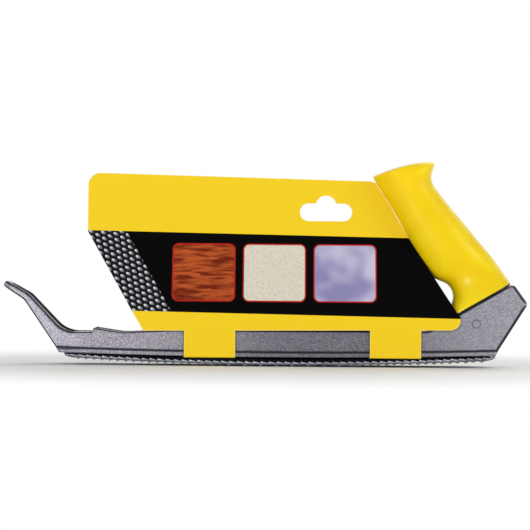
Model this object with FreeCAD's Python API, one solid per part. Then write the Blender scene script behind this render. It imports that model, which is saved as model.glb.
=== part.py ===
"""Rasp plane in its printed card sleeve: cast body, moulded grip, perforated blade and its draw hook.

The origin is under the middle of the tool, on the surface that the cutting teeth stand on. X runs from the
upswept front horn to the heel, Y runs across the tool and Z is up. All sizes are millimetres.
"""

import FreeCAD, Part
import math
import os

Vec = FreeCAD.Vector

# The cast body, seen from the side
sole_length = 258.0        # toe edge to heel edge of the lower lip
sole_centre_x = 8.0        # the sole's middle, measured from the middle of the whole tool
sole_height = 5.5          # underside of the lip at the sole's middle, over the tooth tips
sole_bow = 2.0             # the sole's ends stand this much higher than its middle
blade_width = 41.3         # over the blade's flanges
blade_side_gap = 0.15      # the casting's side faces stand this much outside the blade
lip_height = 2.6
lip_overhang = 0.7         # the lip stands this much proud of each side face
groove_height = 0.8        # shadow groove just above the lip
groove_depth = 0.9
rail_height = 15.7         # from the sole's middle to the top of the rails
rail_thickness = 3.2
ledge_width = 4.2          # inward ledge at the foot of each rail
wall = 2.6                 # cast walls of the toe and the heel
rail_edge_round = 0.8      # rounded outer edges of the rails' tops
overrun = 5.0              # how far a cutting tool passes the face that it opens
fuse_lap = 0.5             # how far a rib or a lug runs into the wall that carries it

# The upswept front horn
horn_knee_run = 21.4       # the underside's knee, forward of the toe edge
horn_knee_rise = 30.9
horn_tip_run = 12.9        # the tip, forward of the knee
horn_tip_rise = 8.3
horn_tip_thickness = 3.6
horn_upper_slope = 29.0    # degrees, near the tip
horn_lower_slope = 46.5    # degrees, down to the foot
horn_neck_thickness = 4.6  # from the knee square to the top of the slope
horn_upper_round = 12.0
horn_foot_round = 17.0
horn_knee_round = 8.0
horn_tip_round = 1.2
horn_tip_width = 27.0
horn_root_run = 11.0       # behind the toe edge, where the sides start to draw in
horn_plan_corner = 6.0
horn_plan_round = 40.0
horn_rim = 3.0             # raised rim at each side of the horn's top
horn_rim_end = 4.5         # and at its tip
horn_recess = 1.4          # how far the top lies below the rim
horn_edge_round = 1.1      # rounded side edges of the horn
foot_level = 14.3          # rim level at the horn's foot, above the sole's middle

# The rails between the toe and the heel
hump_run = 19.6            # from the toe edge to where the rails start
hump_rise = 2.2            # the rails' front end over the foot's rim
hump_lean = 0.6
dip_run = 18.0             # from there to the lowest place of the finger dip
dip_depth = 1.8            # below the rails' top
dip_end_run = 31.8         # from the lowest place to the dip's end
dip_round = 30.0
bulkhead_thickness = 3.0   # wall across the front end of the rails
rib_thickness = 3.4        # the pair of ribs that tie the rails together
rib_gap = 3.2
rib_offset = 11.5          # the pair's middle, behind the sole's middle
rib_rise = 0.7             # over the rails' top
rib_depth = 7.0
heel_wall_run = 48.6       # from the heel edge forward to the front face of the heel's cross wall
heel_arch_height = 12.0     # the archway through that wall, above the sole's middle
heel_arch_round = 4.0

# The heel, which carries the grip on a sloping seat
seat_slope = 30.0          # degrees
seat_foot_run = 39.2       # from the heel edge forward to where the seat leaves the rails' top
seat_length = 57.6         # along the slope
seat_round = 5.0
seat_deck = 4.0            # thickness of the seat
heel_back_length = 14.6    # the short edge behind the seat
heel_back_angle = 54.0     # degrees below the horizontal
heel_edge_round = 2.4      # rounded side edges behind the seat
heel_corner_round = 3.0
heel_plan_corner = 4.0

# The grip, in its own frame: along the seat, and square to it
grip_origin_run = 31.4     # from the seat's foot, along the slope
grip_lift = 0.6            # shadow groove between the seat and the grip's skin
grip_foot_inset = 1.3
grip_foot_length = 44.7    # the grip's foot along the seat
grip_side_inset = 1.2      # from the casting's side face to the grip's side at the foot
grip_wall = 3.2
grip_top_tilt = 15.5       # degrees, the top end against the seat
grip_top_run = 4.8         # the top's middle, along the seat
grip_top_height = 93.4     # the top's middle, square to the seat
grip_top_dome = 90.0       # radius of the domed top
grip_top_round = 1.2
# Each section of the grip: its height as a share of the grip's height, its front edge and its rear
# edge as shares of the foot's length, its half width as a share of the foot's, and how square it is
grip_section_shares = [
    (0.0, -0.436, 0.564, 1.0, 4.6),
    (0.031, -0.371, 0.566, 0.98, 4.2),
    (0.08, -0.215, 0.559, 0.898, 3.4),
    (0.144, -0.148, 0.55, 0.801, 2.9),
    (0.204, -0.17, 0.537, 0.76, 2.6),
    (0.263, -0.26, 0.517, 0.781, 2.5),
    (0.338, -0.3, 0.486, 0.816, 2.4),
    (0.489, -0.309, 0.432, 0.811, 2.4),
    (0.64, -0.304, 0.374, 0.776, 2.4),
    (0.748, -0.302, 0.34, 0.75, 2.4),
    (0.823, -0.306, 0.34, 0.74, 2.4),
    (0.883, -0.311, 0.428, 0.75, 2.5),
    (0.926, -0.315, 0.473, 0.76, 2.5),
    (1.08, -0.325, 0.486, 0.765, 2.5),
]
section_points = 20
grip_top_wall = 17.4       # solid plastic over the core, down from the top's middle
tang_length = 19.6         # the tang passes through the seat and is pinned in the heel
tang_width = 13.6
tang_depth = 15.5          # below the seat
tang_rise = 34.0           # and up inside the core
tang_fit = 0.15            # clearance round the tang
grip_rib = 2.4             # ribs that tie the tang to the grip's skin
pin_radius = 2.5
pin_depth = 9.5            # the cross pin, below the seat
pin_run = -4.7             # along the seat, from the grip's middle
pin_chamfer = 0.4
pin_fit = 0.02             # round the pin in its holes
pin_recess = 0.2           # the pin's ends lie this far below the side faces

# The blade: a bowed channel of perforated steel
blade_offset = 1.5         # the blade's middle, behind the sole's middle
blade_margin = 5.5         # the toothed length ends this far inside the sole's length at each end
blade_thickness = 0.7
blade_bow = 2200.0         # radius of the tooth tips' line
tooth_height = 1.0
flange_height = 2.6        # over the underside of the blade's web
flange_bend = 1.45         # bend radius of the flanges, at the middle of the sheet
tooth_pitch = 4.7          # from one row of teeth to the next
tooth_spacing = 9.0        # between the teeth of one row
teeth_in_row = 4           # in the even rows; the odd rows lie between them
tooth_ramp = 2.5           # length of the raised ramp behind a cutting edge
tooth_front_width = 3.0
tooth_edge_width = 2.2
tooth_back_width = 1.4
tooth_rake = 0.3
tooth_root = 0.12          # how far a tooth's root lies in the sheet
hole_length = 2.1
hole_width = 2.6
row_margin = 3.5           # from the end of the toothed length to the first row
ridge_height = 0.45        # slanting side teeth on the flanges
ridge_run = 1.9
ridge_slant = 2.0
ridge_foot = 0.75          # over the underside of the web
ridge_top = 2.3
tongue_width = 22.0        # the turned-up end that is hooked
front_tongue_run = 3.4     # from the toothed length to the bend
front_tongue_lean = 65.0   # degrees
rear_tongue_run = 2.2
rear_tongue_lean = 48.0    # degrees
tongue_rise = 7.5          # from the bend to the tongue's end
tongue_bend = 1.6
eye_width = 12.0           # the slot in each tongue
eye_height = 2.4
eye_edge = 2.2             # metal over the slot

# The draw screw, its hook and the lug at the other end
deck_level = 8.0           # the deck's underside, above the sole's middle
deck_thickness = 3.0       # under the screw's head
toe_corner = 0.6           # rounding inside the toe
screw_run = 12.2           # from the toe edge to the screw
screw_radius = 3.0
head_radius = 5.0
head_height = 2.6
head_slot_width = 1.2
head_slot_depth = 1.2
washer_radius = 5.8
washer_thickness = 0.5
pocket_clearance = 0.5
screw_proud = 0.1          # the tight screw's tip passes the nut by this much
running_gap = 0.05         # round a shaft in its hole
clip_radius = 4.4
clip_thickness = 0.6
clip_groove = 0.6
clip_gap = 0.1
hook_thickness = 1.8
hook_width = 16.0
hook_finger_width = 10.4
hook_finger_run = 8.4      # from the screw to the finger's tip
hook_back_run = 5.0        # from the screw to the hook's rear edge
hook_shoulder_run = 4.4
hook_skirt = 2.4           # the turned-down sides that keep the nut from turning
nut_width = 9.6
nut_height = 2.8
nut_fit = 0.1
seat_gap = 0.05            # between a tongue's slot and what holds it
lug_height = 2.2
lug_width = 10.4
lug_reach = 2.6            # how far the lug passes the tongue

# The card sleeve
card_thickness = 0.4
card_gap = 0.3             # between the card and the casting's lip
card_bend_z = 31.0         # the sides stand upright to here, then lean in
card_meet_z = 80.0         # and lie back to back from here
card_low_round = 6.0
card_high_round = 20.0
card_left_x = -105.7
card_left_z = 79.5
card_top_z = 114.6
card_top_fall = 4.0        # the top edge falls this much towards the grip
card_corner = 7.5
card_right_x = 66.3
card_right_knee_x = 86.0   # the right edge bends a little here
card_right_knee_z = 75.6
card_heel_x = 116.3
card_heel_z = 29.5         # the right end is upright below here
card_grip_gap = 0.5        # the card is cut back this far from the grip
card_foot_x = -71.3
card_foot_z = 22.4         # at the heel's end
card_foot_fall = 1.7       # the foot's edge falls this much towards the horn
card_foot_corner = 6.0
tab_width = 30.3           # the tabs that wrap the body
front_tab_x = -32.0
rear_tab_x = 77.9
flap_gap = 0.08            # between a flap and the sole where they are nearest
flap_reach = 6.0           # past the middle, so that the two flaps lap
flap_bend = 0.8
flap_joggle = 3.0
flap_step = 0.45
hang_x = 36.6
hang_z = 91.9
hang_length = 31.0
hang_height = 10.5
hang_bump_width = 12.1
hang_bump_rise = 9.9

out = "parts"
touching_share = 1e-6      # points nearer than this share of the body's width are one point

body_width = blade_width + 2 * blade_side_gap
half_body = body_width / 2
half_inner = half_body - rail_thickness
half_lip = half_body + lip_overhang
toe_x = sole_centre_x - sole_length / 2
heel_x = sole_centre_x + sole_length / 2
end_level = sole_height + sole_bow
sole_radius = (sole_length / 2) ** 2 / (2 * sole_bow) + sole_bow / 2
rail_top = sole_height + rail_height
foot_top = sole_height + foot_level
hump_x = toe_x + hump_run
dip_x = hump_x + dip_run
dip_end_x = dip_x + dip_end_run
horn_root_x = toe_x + horn_root_run
rib_centre_x = sole_centre_x + rib_offset
heel_wall_x = heel_x - heel_wall_run
seat_foot_x = heel_x - seat_foot_run
grip_core_top = grip_top_height - grip_top_wall
blade_centre_x = sole_centre_x + blade_offset
blade_toothed_length = sole_length - 2 * blade_margin
screw_x = toe_x + screw_run
deck_underside = sole_height + deck_level
pocket_floor = deck_underside + deck_thickness
tab_centres = (front_tab_x, rear_tab_x)
reach = sole_length + body_width      # longer than any cut along the tool


def polar(length, degrees):
    """The run and the rise of a step of this length, this many degrees above the +X direction."""
    a = math.radians(degrees)
    return length * math.cos(a), length * math.sin(a)


def step(start, length, degrees):
    """The point (x, z) that lies this far from start in this direction."""
    run, rise = polar(length, degrees)
    return start[0] + run, start[1] + rise


def meet(p, p_degrees, q, q_degrees):
    """The point where two lines cross, each given by a point (x, z) and a direction."""
    ax, az = polar(1, p_degrees)
    bx, bz = polar(1, q_degrees)
    t = ((q[0] - p[0]) * bz - (q[1] - p[1]) * bx) / (ax * bz - az * bx)
    return p[0] + ax * t, p[1] + az * t


def level(p, degrees, z):
    """The point at height z on the line through p in this direction."""
    return meet(p, degrees, (p[0], z), 0)


def direction(p, q):
    """The direction from p to q, in degrees."""
    return math.degrees(math.atan2(q[1] - p[1], q[0] - p[0]))


def place(plane, a, b):
    """A point of an outline that is drawn in one of the three planes."""
    if plane == "xz":
        return Vec(a, 0, b)
    if plane == "yz":
        return Vec(0, a, b)
    return Vec(a, b, 0)


def rounded(corners, plane="xz"):
    """A closed wire through corners (a, b, radius), each rounded by its radius."""
    count = len(corners)
    ends = []
    for i, (a, b, radius) in enumerate(corners):
        here = place(plane, a, b)
        before = place(plane, *corners[i - 1][:2]) - here
        after = place(plane, *corners[(i + 1) % count][:2]) - here
        before.normalize()
        after.normalize()
        half = before.getAngle(after) / 2
        if radius <= 0:
            ends.append((here, None, here))
            continue
        tangent = radius / math.tan(half)
        inward = before + after
        inward.normalize()
        middle = here + inward * (radius / math.sin(half) - radius)
        ends.append((here + before * tangent, middle, here + after * tangent))
    edges = []
    for i, (start, middle, end) in enumerate(ends):
        if middle is not None:
            edges.append(Part.Arc(start, middle, end).toShape())
        following = ends[(i + 1) % count][0]
        if (following - end).Length > touching_share * body_width:
            edges.append(Part.LineSegment(end, following).toShape())
    return Part.Wire(edges)


def band(route, thickness, plane="xz"):
    """The closed outline of a bent sheet whose middle line runs through (a, b, bend radius) points."""
    half = thickness / 2
    left = []
    right = []
    for i, (a, b, radius) in enumerate(route):
        ahead = route[min(i + 1, len(route) - 1)]
        behind = route[max(i - 1, 0)]
        into = direction(behind, (a, b)) if i > 0 else direction((a, b), ahead)
        away = direction((a, b), ahead) if i < len(route) - 1 else into
        turn = (away - into + 180) % 360 - 180
        offset = half / math.cos(math.radians(turn / 2))
        x, z = polar(offset, into + turn / 2 + 90)
        inner = radius - half if turn > 0 else radius + half
        outer = radius + half if turn > 0 else radius - half
        left.append((a + x, b + z, inner if radius > 0 else 0))
        right.append((a - x, b - z, outer if radius > 0 else 0))
    return rounded(left + right[::-1], plane)


def slab(wire, low, high, plane="xz"):
    """The solid of a closed outline between two places along the axis that is square to its plane."""
    axis = {"xz": Vec(0, 1, 0), "yz": Vec(1, 0, 0), "xy": Vec(0, 0, 1)}[plane]
    face = Part.Face(wire)
    face.translate(axis * low)
    return face.extrude(axis * (high - low))


def block(x0, x1, y0, y1, z0, z1):
    """A box between two corners."""
    return Part.makeBox(x1 - x0, y1 - y0, z1 - z0, Vec(x0, y0, z0))


def above_sole(rise):
    """All that lies above the bowed line of the sole, raised by rise."""
    centre = Vec(sole_centre_x, -reach / 2, sole_height + rise + sole_radius)
    return Part.makeCylinder(sole_radius, reach, centre, Vec(0, 1, 0))


def save(shape, node):
    """Write one sub-part, and say how large it is."""
    solids = shape.Solids
    shape = solids[0] if len(solids) == 1 else Part.Compound(solids)
    shape.exportStep(os.path.join(out, node + ".step"))
    box = shape.optimalBoundingBox(False, False)
    print(f"{node:18s} solids {len(solids)}  valid {shape.isValid()}  volume {shape.Volume:10.1f}  "
          f"x {box.XMin:8.2f} {box.XMax:8.2f}  y {box.YMin:7.2f} {box.YMax:7.2f}  "
          f"z {box.ZMin:7.2f} {box.ZMax:7.2f}  faces {len(shape.Faces)}")
    return shape


# Lines of the casting's side view that several pieces share
toe = (toe_x, end_level)
knee = (toe_x - horn_knee_run, end_level + horn_knee_rise)
tip = (knee[0] - horn_tip_run, knee[1] + horn_tip_rise)
front_slope = direction(toe, knee)
tip_slope = direction(knee, tip)
tip_top = step(tip, horn_tip_thickness, tip_slope - 90)
neck_top = step(knee, horn_neck_thickness, 90 - horn_lower_slope)
horn_shoulder = meet(tip_top, -horn_upper_slope, neck_top, -horn_lower_slope)
horn_foot = level(neck_top, -horn_lower_slope, foot_top)
seat_foot = (seat_foot_x, rail_top)
seat_end = step(seat_foot, seat_length, seat_slope)
heel_corner = step(seat_end, heel_back_length, -heel_back_angle)
heel_edge = (heel_x, end_level)
back_slope = direction(heel_edge, heel_corner)


def horn_top(back, round_shoulder, round_foot):
    """The top line of the horn, from its tip down to the foot's level and back to x = back."""
    return [(*tip_top, 0), (*horn_shoulder, round_shoulder), (*horn_foot, round_foot), (back, foot_top, 0)]


def body_outline():
    """The side view of the casting, with its foot run on below the sole."""
    front_root = level(toe, front_slope, -overrun)
    back_root = level(heel_edge, back_slope, -overrun)
    dip_level = rail_top - dip_depth
    return rounded([
        (*front_root, 0),
        (*knee, horn_knee_round),
        (*tip, horn_tip_round),
        (*tip_top, horn_tip_round),
        (*horn_shoulder, horn_upper_round),
        (*horn_foot, horn_foot_round),
        (hump_x, foot_top, 0),
        (hump_x + hump_lean, foot_top + hump_rise, hump_lean / 2),
        (dip_x, dip_level, dip_round),
        (dip_end_x, rail_top, dip_round),
        (*seat_foot, seat_round),
        (*seat_end, 0),
        (*heel_corner, heel_corner_round),
        (*back_root, 0),
    ])


def plan_outline(inset, tip_inset):
    """The casting from above: drawn in towards the horn's tip, with its side faces moved in by inset."""
    half = half_body - inset
    half_tip = horn_tip_width / 2 - inset
    far = heel_corner[0] - inset
    near = tip[0] + tip_inset
    return rounded([
        (near, -half_tip, max(horn_plan_corner - inset, 0)),
        (horn_root_x, -half, horn_plan_round),
        (far, -half, heel_plan_corner),
        (far, half, heel_plan_corner),
        (horn_root_x, half, horn_plan_round),
        (near, half_tip, max(horn_plan_corner - inset, 0)),
    ], "xy")


def seat_point(run, height):
    """The point (x, z) this far along the seat from the grip's middle, and this far square to it."""
    base = step(seat_foot, grip_origin_run + run, seat_slope)
    return step(base, height, seat_slope + 90)


def into_seat_frame(shape):
    """Move a shape that is drawn flat, with X along the seat and Z square to it, onto the seat."""
    origin = seat_point(0, 0)
    shape.rotate(Vec(0, 0, 0), Vec(0, 1, 0), -seat_slope)
    shape.translate(Vec(origin[0], 0, origin[1]))
    return shape


def pin_centre():
    """The middle of the cross pin, in the side view."""
    return seat_point(pin_run, -pin_depth)


def pin_bar(radius, half_length):
    """A round bar across the tool at the pin's place."""
    x, z = pin_centre()
    return Part.makeCylinder(radius, 2 * half_length, Vec(x, -half_length, z), Vec(0, 1, 0))


def tang_slot(clearance):
    """The window that the grip's tang fills, through the seat and into the heel."""
    half_run = tang_length / 2 + clearance
    half_width = tang_width / 2 + clearance
    slot = block(pin_run - half_run, pin_run + half_run, -half_width, half_width, -tang_depth, overrun)
    return into_seat_frame(slot)


def toe_cavity():
    """The hollow of the toe, open below, which holds the draw hook."""
    inside = step(toe, wall, front_slope - 90)
    low = level(inside, front_slope, -overrun)
    high = level(inside, front_slope, deck_underside)
    back = hump_x - bulkhead_thickness + hump_lean
    wire = rounded([(*low, 0), (*high, toe_corner), (back, deck_underside, toe_corner), (back, -overrun, 0)])
    return slab(wire, -half_inner, half_inner)


def heel_cavity():
    """The hollow of the heel, open below, with the casting's wall left all round."""
    front = heel_wall_x + rail_thickness
    ceiling = rail_top - rail_thickness
    under_seat = step(seat_foot, seat_deck, seat_slope - 90)
    behind_seat = step(seat_end, wall, -heel_back_angle - 90)
    inside = step(heel_edge, wall, back_slope + 90)
    bend = level(under_seat, seat_slope, ceiling)
    crown = meet(under_seat, seat_slope, behind_seat, -heel_back_angle)
    corner = meet(behind_seat, -heel_back_angle, inside, back_slope)
    low = level(inside, back_slope, -overrun)
    wire = rounded([(front, -overrun, 0), (front, ceiling, wall), (*bend, seat_round), (*crown, wall),
                    (*corner, wall), (*low, 0)])
    return slab(wire, -half_inner, half_inner)


def rail_window():
    """The long opening between the rails: wide above, and narrowed by a ledge along each rail's foot."""
    front = hump_x + hump_lean
    top = rail_top + overrun
    wide = block(front, heel_wall_x, -half_inner, half_inner, sole_height, top)
    wide = wide.common(above_sole(lip_height))
    half_low = half_inner - ledge_width
    narrow = block(front, heel_wall_x, -half_low, half_low, -overrun, top)
    return wide, narrow


def heel_arch():
    """The archway through the heel's cross wall, which lets filings out of the heel."""
    half = half_inner - ledge_width
    crown = sole_height + heel_arch_height
    wire = rounded([(-half, -overrun, 0), (-half, crown, heel_arch_round), (half, crown, heel_arch_round),
                    (half, -overrun, 0)], "yz")
    return slab(wire, heel_wall_x - overrun, heel_wall_x + rail_thickness + overrun, "yz")


def screw_pocket():
    """The round pocket in the toe's deck that hides the draw screw's head, and the hole below it."""
    rise = foot_top + overrun - pocket_floor
    pocket = Part.makeCylinder(washer_radius + pocket_clearance, rise, Vec(screw_x, 0, pocket_floor))
    hole = Part.makeCylinder(screw_radius + running_gap, pocket_floor, Vec(screw_x, 0, overrun))
    return pocket.fuse(hole)


def make_body():
    """The die-cast body: rails, lip, toe with its horn, heel with its seat."""
    raw = slab(body_outline(), -half_body, half_body).common(slab(plan_outline(0, 0), -overrun, reach, "xy"))
    for edge_round, is_edge in ((heel_edge_round, is_heel_edge), (horn_edge_round, is_horn_edge),
                                (rail_edge_round, is_rail_edge)):
        raw = raw.makeFillet(edge_round, [e for e in raw.Edges if is_edge(e.BoundBox)])
    trunk = raw.common(above_sole(lip_height))
    ring_core = slab(plan_outline(groove_depth, 0), -overrun, reach, "xy")
    groove = above_sole(lip_height).cut(above_sole(lip_height + groove_height)).cut(ring_core)
    trunk = trunk.cut(groove)
    lip_side = slab(body_outline(), -half_lip, half_lip)
    lip = lip_side.common(slab(lip_plan(), -overrun, reach, "xy"))
    lip = lip.common(above_sole(0)).cut(above_sole(lip_height))
    body = trunk.fuse(lip)
    wide, narrow = rail_window()
    hollows = [toe_cavity(), heel_cavity(), heel_arch(), screw_pocket(), tang_slot(tang_fit)]
    body = body.cut([wide, narrow, *hollows])
    top_line = horn_top(hump_x - bulkhead_thickness + hump_lean, horn_upper_round, horn_foot_round)
    recess = slab(band(top_line, 2 * horn_recess), -half_body, half_body)
    recess = recess.common(slab(plan_outline(horn_rim, horn_rim_end), -overrun, reach, "xy"))
    body = body.cut(recess)
    ribs = []
    for side in (-1, 1):
        centre = rib_centre_x + side * (rib_gap + rib_thickness) / 2
        ribs.append(block(centre - rib_thickness / 2, centre + rib_thickness / 2, -half_inner - fuse_lap,
                          half_inner + fuse_lap, rail_top - rib_depth, rail_top + rib_rise))
    body = body.fuse(ribs)
    body = body.fuse(blade_lug())
    body = body.cut(pin_bar(pin_radius + pin_fit, half_body + overrun))
    return body.removeSplitter()


def is_heel_edge(box):
    """Whether an edge with this box starts the outer corner behind the seat, next to a side face."""
    near_side = abs((box.YMax ** 2 + box.YMin ** 2) / 2 - half_body ** 2) < touching_share * half_body ** 2
    return near_side and box.XMin > seat_end[0] - overrun and box.ZMax > seat_end[1] - heel_back_length / 2


def is_horn_edge(box):
    """Whether an edge with this box is one of the long edges of the horn's sides."""
    return box.XMax < horn_root_x and box.XLength > horn_neck_thickness and box.YLength < box.XLength / 2


def is_rail_edge(box):
    """Whether an edge with this box runs along the outside of a rail's top."""
    return box.XLength > body_width and abs(box.ZMin - rail_top) < touching_share * rail_top + box.ZLength


def lip_plan():
    """The lip from above, square-ended, standing proud of the side faces."""
    near = level(toe, front_slope, end_level + lip_height)[0] - lip_overhang
    far = level(heel_edge, back_slope, end_level + lip_height)[0] + lip_overhang
    corner = heel_plan_corner
    return rounded([(near, -half_lip, corner), (far, -half_lip, corner), (far, half_lip, corner),
                    (near, half_lip, corner)], "xy")


def blade_point(along, height):
    """The point (x, z) this far along the blade's bow from its middle, this far above the tooth tips."""
    a = along / blade_bow
    radius = blade_bow - height
    return blade_centre_x + radius * math.sin(a), blade_bow - radius * math.cos(a)


def tongue_route(side):
    """The middle line of the tongue at the horn's end (side -1) or the heel's end (side 1)."""
    run = rear_tongue_run if side > 0 else front_tongue_run
    lean = rear_tongue_lean if side > 0 else front_tongue_lean
    middle = tooth_height + blade_thickness / 2
    start = blade_point(side * (blade_toothed_length / 2 - fuse_lap), middle)
    bend = blade_point(side * (blade_toothed_length / 2 + run), middle)
    rise_direction = 180 - lean if side > 0 else lean
    top = level(bend, rise_direction, bend[1] + tongue_rise)
    return [(*start, 0), (*bend, tongue_bend), (*top, 0)]


def eye_levels(side):
    """The lower and the upper level of the slot in a tongue."""
    top = tongue_route(side)[2][1]
    return top - eye_edge - eye_height, top - eye_edge


def eye_x(side, z):
    """Where a tongue's middle line is at height z."""
    bend, top = tongue_route(side)[1:]
    return level(bend[:2], direction(bend[:2], top[:2]), z)[0]


def blade_lug():
    """The cast lug on the heel's back wall that holds the blade's rear slot."""
    top = eye_levels(1)[1] - seat_gap
    front = eye_x(1, top) - lug_reach
    inside = step(heel_edge, wall, back_slope + 90)
    back = level(inside, back_slope, top - lug_height)[0] + wall
    return slab(rounded([(front, top - lug_height, lug_height / 4), (front, top, lug_height / 4),
                         (back, top, 0), (back, top - lug_height, 0)]), -lug_width / 2, lug_width / 2)


def faceted(faces):
    """A solid with flat faces, each a list of points."""
    return Part.Solid(Part.Shell([Part.Face(Part.makePolygon([*points, points[0]])) for points in faces]))


def tooth():
    """One raised tooth, drawn at the origin: its edge looks towards -X and its point is down."""
    back = tooth_back_width / 2
    front = tooth_front_width / 2
    tip_half = tooth_edge_width / 2
    root = [Vec(tooth_ramp, -back, tooth_root), Vec(tooth_ramp, back, tooth_root), Vec(0, front, tooth_root),
            Vec(0, -front, tooth_root)]
    edge = [Vec(-tooth_rake, tip_half, -tooth_height), Vec(-tooth_rake, -tip_half, -tooth_height)]
    return faceted([root, [root[3], root[2], edge[0], edge[1]], [root[1], root[0], edge[1], edge[0]],
                    [root[2], root[1], edge[0]], [root[0], root[3], edge[1]]])


def side_ridge(side):
    """One slanting side tooth of a flange, drawn with the underside of the web at Z = 0."""
    inner = side * (blade_width / 2 - tooth_root)
    low = [Vec(ridge_slant, inner, ridge_foot), Vec(ridge_slant + ridge_run, inner, ridge_foot)]
    high = [Vec(0, inner, ridge_top), Vec(ridge_run, inner, ridge_top)]
    slant = high[0] - low[0]
    inset = slant * (ridge_height / slant.Length)
    proud = Vec(ridge_run / 4, side * (tooth_root + ridge_height), 0)
    crest_low = low[0] + inset + proud
    crest_high = high[0] - inset + proud
    return faceted([[low[0], low[1], high[1], high[0]], [low[0], high[0], crest_high, crest_low],
                    [low[1], high[1], crest_high, crest_low], [low[0], low[1], crest_low],
                    [high[0], high[1], crest_high]])


def on_bow(shape, along):
    """A copy of a shape that is drawn at the web's underside, moved this far along the bow."""
    copy = shape.copy()
    copy.translate(Vec(blade_centre_x, 0, tooth_height))
    copy.rotate(Vec(blade_centre_x, 0, blade_bow), Vec(0, 1, 0), -math.degrees(along / blade_bow))
    return copy


def tooth_rows():
    """Each row of teeth: its place along the bow, and the teeth's places across the blade."""
    first = -blade_toothed_length / 2 + row_margin
    count = int((blade_toothed_length - 2 * row_margin) / tooth_pitch) + 1
    for i in range(count):
        teeth = teeth_in_row + i % 2
        across = [(j - (teeth - 1) / 2) * tooth_spacing for j in range(teeth)]
        yield first + i * tooth_pitch, across


def blade_channel():
    """The bowed channel: a web with a flange turned up along each side."""
    half = (blade_width - blade_thickness) / 2
    middle = tooth_height + blade_thickness / 2
    top = tooth_height + flange_height
    section = Part.Face(band([(-half, top, 0), (-half, middle, flange_bend), (half, middle, flange_bend),
                              (half, top, 0)], blade_thickness, "yz"))
    section.translate(Vec(blade_centre_x, 0, 0))
    centre = Vec(blade_centre_x, 0, blade_bow)
    angle = math.degrees(blade_toothed_length / blade_bow)
    section.rotate(centre, Vec(0, 1, 0), angle / 2)
    return section.revolve(centre, Vec(0, 1, 0), -angle)


def make_blade():
    """The perforated blade, with a hooked tongue at each end."""
    body = blade_channel()
    tongues = []
    for side in (-1, 1):
        tongue = slab(band(tongue_route(side), blade_thickness), -tongue_width / 2, tongue_width / 2)
        low, high = eye_levels(side)
        x = eye_x(side, low)
        eye = block(x - overrun, x + overrun, -eye_width / 2, eye_width / 2, low, high)
        tongues.append(tongue.cut(eye))
    body = body.fuse(tongues)
    hole = block(-tooth_rake - hole_length, 0, -hole_width / 2, hole_width / 2, -blade_thickness,
                 2 * blade_thickness)
    holes = []
    teeth = []
    for along, across in tooth_rows():
        one_hole = on_bow(hole, along)
        one_tooth = on_bow(tooth(), along)
        for y in across:
            holes.append(one_hole.translated(Vec(0, y, 0)))
            teeth.append(one_tooth.translated(Vec(0, y, 0)))
        teeth += [on_bow(side_ridge(side), along) for side in (-1, 1)]
    return body.cut(Part.Compound(holes)).fuse(teeth)


def grip_section(row, inset):
    """One closed section of the grip, drawn with X along the seat and Z square to it."""
    height_share, front_share, rear_share, width_share, square = row
    height = grip_lift + height_share * (grip_top_height - grip_lift)
    middle = grip_foot_length * (front_share + rear_share) / 2
    half_run = grip_foot_length * (rear_share - front_share) / 2 - inset
    half_width = width_share * (half_body - grip_side_inset) - inset
    points = []
    for i in range(section_points):
        a = 2 * math.pi * i / section_points
        c, s = math.cos(a), math.sin(a)
        size = (abs(c) ** square + abs(s) ** square) ** (-1 / square)
        points.append(Vec(middle + half_run * c * size, half_width * s * size, height))
    curve = Part.BSplineCurve()
    curve.interpolate(Points=points, PeriodicFlag=True)
    return Part.Wire(curve.toShape())


def grip_loft(inset):
    """The grip's outside, or its core when inset by the wall, before its ends are cut."""
    return Part.makeLoft([grip_section(row, inset) for row in grip_section_shares], True)


def grip_dome():
    """The ball that cuts the grip's domed top end."""
    x, z = polar(grip_top_dome, 90 - grip_top_tilt)
    return Part.makeSphere(grip_top_dome, Vec(grip_top_run - x, 0, grip_top_height - z))


def make_grip():
    """The moulded grip: a cored shell with a tang that passes through the seat."""
    low = grip_lift
    outside = grip_loft(0).common(grip_dome())
    rim = [e for e in outside.Edges if e.BoundBox.ZMin > grip_core_top and e.BoundBox.YLength > grip_wall]
    skin = outside.makeFillet(grip_top_round, rim)
    core = grip_loft(grip_wall).common(block(-reach, reach, -reach, reach, low, grip_core_top))
    foot = Part.Face(grip_section(grip_section_shares[0], grip_foot_inset))
    foot.translate(Vec(0, 0, -low))
    foot = foot.extrude(Vec(0, 0, low))
    foot_core = Part.Face(grip_section(grip_section_shares[0], grip_wall))
    foot_core.translate(Vec(0, 0, -low))
    foot_core = foot_core.extrude(Vec(0, 0, low))
    shell = skin.cut(core).fuse(foot.cut(foot_core))
    half_run = tang_length / 2
    half_width = tang_width / 2
    tang = block(pin_run - half_run, pin_run + half_run, -half_width, half_width, -tang_depth, 0)
    post = block(pin_run - half_run, pin_run + half_run, -half_width, half_width, 0, tang_rise)
    long_rib = block(-reach, reach, -grip_rib / 2, grip_rib / 2, 0, grip_core_top)
    cross_rib = block(pin_run - grip_rib / 2, pin_run + grip_rib / 2, -reach, reach, 0, grip_core_top)
    inside = core.fuse(foot_core)
    ribs = long_rib.fuse([cross_rib, post]).common(inside)
    shell = into_seat_frame(shell.fuse([ribs, tang]))
    return shell.cut(pin_bar(pin_radius + pin_fit, half_body))


def make_pin():
    """The cross pin that holds the grip's tang."""
    length = half_body - pin_recess
    x, z = pin_centre()
    bar = pin_bar(pin_radius, length)
    ends = [e for e in bar.Edges if abs(abs(e.CenterOfMass.y) - length) < pin_chamfer]
    return bar.makeChamfer(pin_chamfer, ends)


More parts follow.
